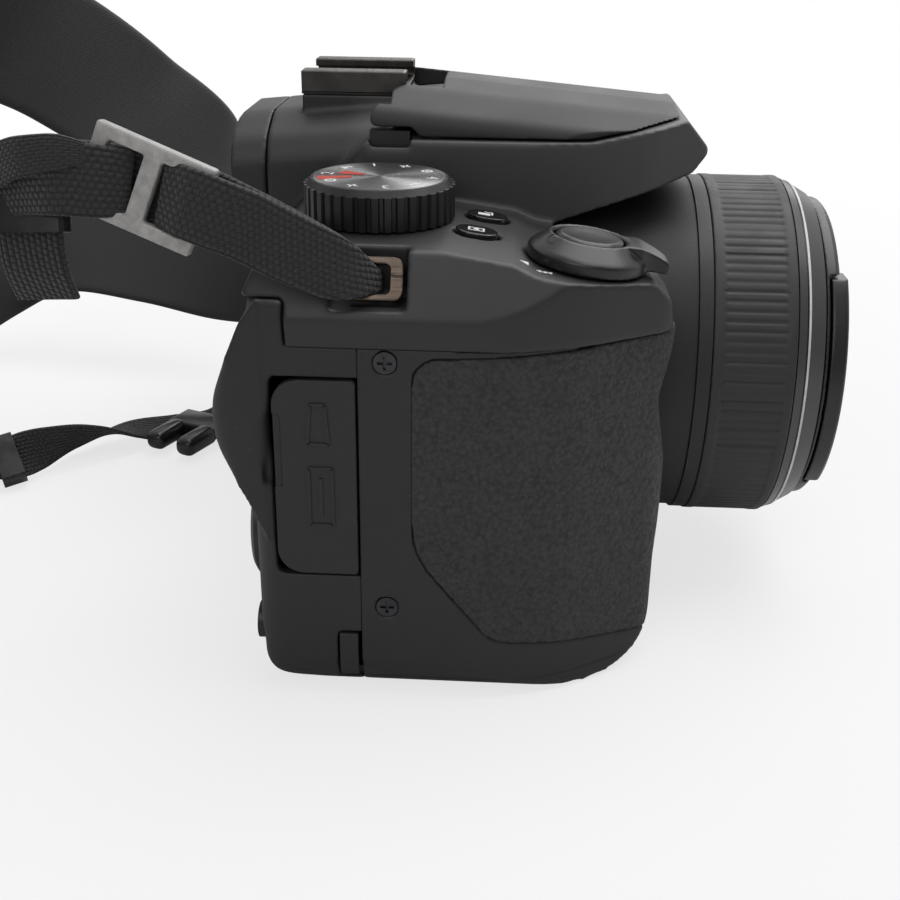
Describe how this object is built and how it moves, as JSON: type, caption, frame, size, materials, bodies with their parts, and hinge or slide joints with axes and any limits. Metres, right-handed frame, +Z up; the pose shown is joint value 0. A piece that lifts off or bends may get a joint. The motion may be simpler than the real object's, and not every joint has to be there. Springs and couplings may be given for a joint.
{
  "type": "bridge camera",
  "caption": "Bridge camera with a moulded grip, capped zoom lens with ribbed ring, pop-up flash, mode dial, zoom lever round the shutter button, connector door and neck strap.",
  "frame": {"origin": "mouth of the tripod socket in the base, under the lens axis", "axes": "+Z up from the base, -Y along the lens towards the subject, -X towards the grip"},
  "size_m": [0.1743, 0.2132, 0.113],
  "materials": {
    "shell": "fine matte",
    "top": "satin matte",
    "black": "matte",
    "gloss": "polished",
    "rubber": "leather grain",
    "ribrubber": "ribbed",
    "steel": "plain",
    "spun": "spun",
    "chrome": "bright",
    "nickel": "nickel plated",
    "screwblack": "black oxide",
    "shoemetal": "dark satin",
    "glass": "coated",
    "clear": "clear",
    "mirror": "polished",
    "screen": "polished",
    "board": "plain",
    "alloy": "plain",
    "web": "coarse weave",
    "band": "fine twill",
    "buckle": "satin"
  },
  "bodies": {
    "camera": {"front_shell": "shell", "rear_cover": "shell", "top_cover": "top", "finder_housing": "top", "eyepiece_frame": "shell", "eyecup": "rubber", "eyepiece_lens": "glass", "finder_display": "screen", "flash_hinge_pins": "steel", "flash_hinge_strip": "black", "shoe_rails": "shoemetal", "shoe_base": "black", "grip_rubber": "rubber", "port_block": "black", "case_screws": "screwblack", "strap_lugs": "nickel", "lens_barrel": "shell", "ribbed_ring": "ribrubber", "trim_ring": "chrome", "front_bezel": "gloss", "sensor": "screen", "chassis": "alloy", "main_board": "board", "flash_capacitor": "black", "screen_window": "screen", "screen_module": "alloy", "battery": "black", "bay_hinge_pin": "steel", "tripod_socket": "steel", "strap_right": "web", "strap_band": "band", "strap_left": "web", "strap_fittings": "buckle"},
    "flash": {"flash_lid": "top", "flash_window": "clear", "flash_reflector": "mirror"},
    "dial": {"mode_dial": "black", "dial_plate": "spun"},
    "zoom_ring_lever": {"zoom_lever": "black"},
    "shutter": {"shutter_button": "gloss"},
    "burst": {"burst_button": "gloss"},
    "finder_switch": {"finder_button": "gloss"},
    "port_cover": {"port_door": "rubber"},
    "cable_cover": {"cable_flap": "rubber"},
    "bay_door": {"battery_door": "black"},
    "tube_outer": {"zoom_tube_outer": "black"},
    "tube_inner": {"zoom_tube_inner": "black", "front_glass": "glass", "middle_glass": "glass"},
    "cap": {"lens_cap": "black"},
    "tab_right": {"cap_tab_right": "black"},
    "tab_left": {"cap_tab_left": "black"},
    "dioptre": {"dioptre_wheel": "black"},
    "flash_release": {"flash_button": "black"},
    "play": {"play_button": "black"},
    "movie": {"movie_button": "black"},
    "menu": {"menu_button": "black"},
    "back": {"back_button": "black"},
    "pad": {"four_way_pad": "black"},
    "centre": {"centre_button": "gloss"}
  },
  "joints": [
    {"name": "flash_hinge", "type": "hinge", "parent": "camera", "child": "flash", "pos_m": [0, 0.0184, 0.0866], "axis": [-1, 0, 0], "range_deg": [0, 40]},
    {"name": "dial_turn", "type": "hinge", "parent": "camera", "child": "dial", "pos_m": [-0.035, 0.017, 0.076], "axis": [0, 0, 1], "continuous": true},
    {"name": "zoom_lever_turn", "type": "hinge", "parent": "camera", "child": "zoom_ring_lever", "pos_m": [-0.045, -0.0152, 0.06949], "axis": [0, -0.1392, 0.9903], "range_deg": [-22, 22], "stiffness_Nm_per_rad": 0.03},
    {"name": "shutter_press", "type": "slide", "parent": "camera", "child": "shutter", "axis": [0, 0.1392, -0.9903], "range_m": [0, 0.0007], "stiffness_N_per_m": 500},
    {"name": "burst_press", "type": "slide", "parent": "camera", "child": "burst", "axis": [0, 0, -1], "range_m": [0, 0.0007], "stiffness_N_per_m": 500},
    {"name": "finder_press", "type": "slide", "parent": "camera", "child": "finder_switch", "axis": [0, 0, -1], "range_m": [0, 0.0007], "stiffness_N_per_m": 500},
    {"name": "port_door_hinge", "type": "hinge", "parent": "camera", "child": "port_cover", "pos_m": [-0.0602, 0.01845, 0.03875], "axis": [0, 0, 1], "range_deg": [0, 110]},
    {"name": "cable_flap_hinge", "type": "hinge", "parent": "camera", "child": "cable_cover", "pos_m": [-0.0601, 0.0216, 0.007], "axis": [0, 0, -1], "range_deg": [0, 80]},
    {"name": "bay_door_hinge", "type": "hinge", "parent": "camera", "child": "bay_door", "pos_m": [-0.0388, -0.0015, 0.0013], "axis": [0, -1, 0], "range_deg": [0, 90]},
    {"name": "zoom_outer", "type": "slide", "parent": "camera", "child": "tube_outer", "axis": [0, -1, 0], "range_m": [0, 0.024]},
    {"name": "zoom_inner", "type": "slide", "parent": "tube_outer", "child": "tube_inner", "axis": [0, -1, 0], "range_m": [0, 0.024]},
    {"name": "cap_lift", "type": "slide", "parent": "tube_inner", "child": "cap", "axis": [0, -1, 0], "range_m": [0, 0.02]},
    {"name": "tab_right_pinch", "type": "slide", "parent": "cap", "child": "tab_right", "axis": [1, 0, 0], "range_m": [0, 0.0015], "stiffness_N_per_m": 600},
    {"name": "tab_left_pinch", "type": "slide", "parent": "cap", "child": "tab_left", "axis": [-1, 0, 0], "range_m": [0, 0.0015], "stiffness_N_per_m": 600},
    {"name": "dioptre_turn", "type": "hinge", "parent": "camera", "child": "dioptre", "pos_m": [0.0182, 0.0344, 0.078], "axis": [1, 0, 0], "range_deg": [-80, 80]},
    {"name": "flash_release_press", "type": "slide", "parent": "camera", "child": "flash_release", "axis": [-1, 0, 0], "range_m": [0, 0.0007], "stiffness_N_per_m": 500},
    {"name": "play_press", "type": "slide", "parent": "camera", "child": "play", "axis": [0, -1, 0], "range_m": [0, 0.0007], "stiffness_N_per_m": 500},
    {"name": "movie_press", "type": "slide", "parent": "camera", "child": "movie", "axis": [0, -1, 0], "range_m": [0, 0.0007], "stiffness_N_per_m": 500},
    {"name": "menu_press", "type": "slide", "parent": "camera", "child": "menu", "axis": [0, -1, 0], "range_m": [0, 0.0007], "stiffness_N_per_m": 500},
    {"name": "back_press", "type": "slide", "parent": "camera", "child": "back", "axis": [0, -1, 0], "range_m": [0, 0.0007], "stiffness_N_per_m": 500},
    {"name": "pad_press", "type": "slide", "parent": "camera", "child": "pad", "axis": [0, -1, 0], "range_m": [0, 0.0007], "stiffness_N_per_m": 500},
    {"name": "centre_press", "type": "slide", "parent": "camera", "child": "centre", "axis": [0, -1, 0], "range_m": [0, 0.0007], "stiffness_N_per_m": 500}
  ],
  "couplings": [
    {"joint": "zoom_inner", "follows": "zoom_outer", "ratio": 1}
  ]
}
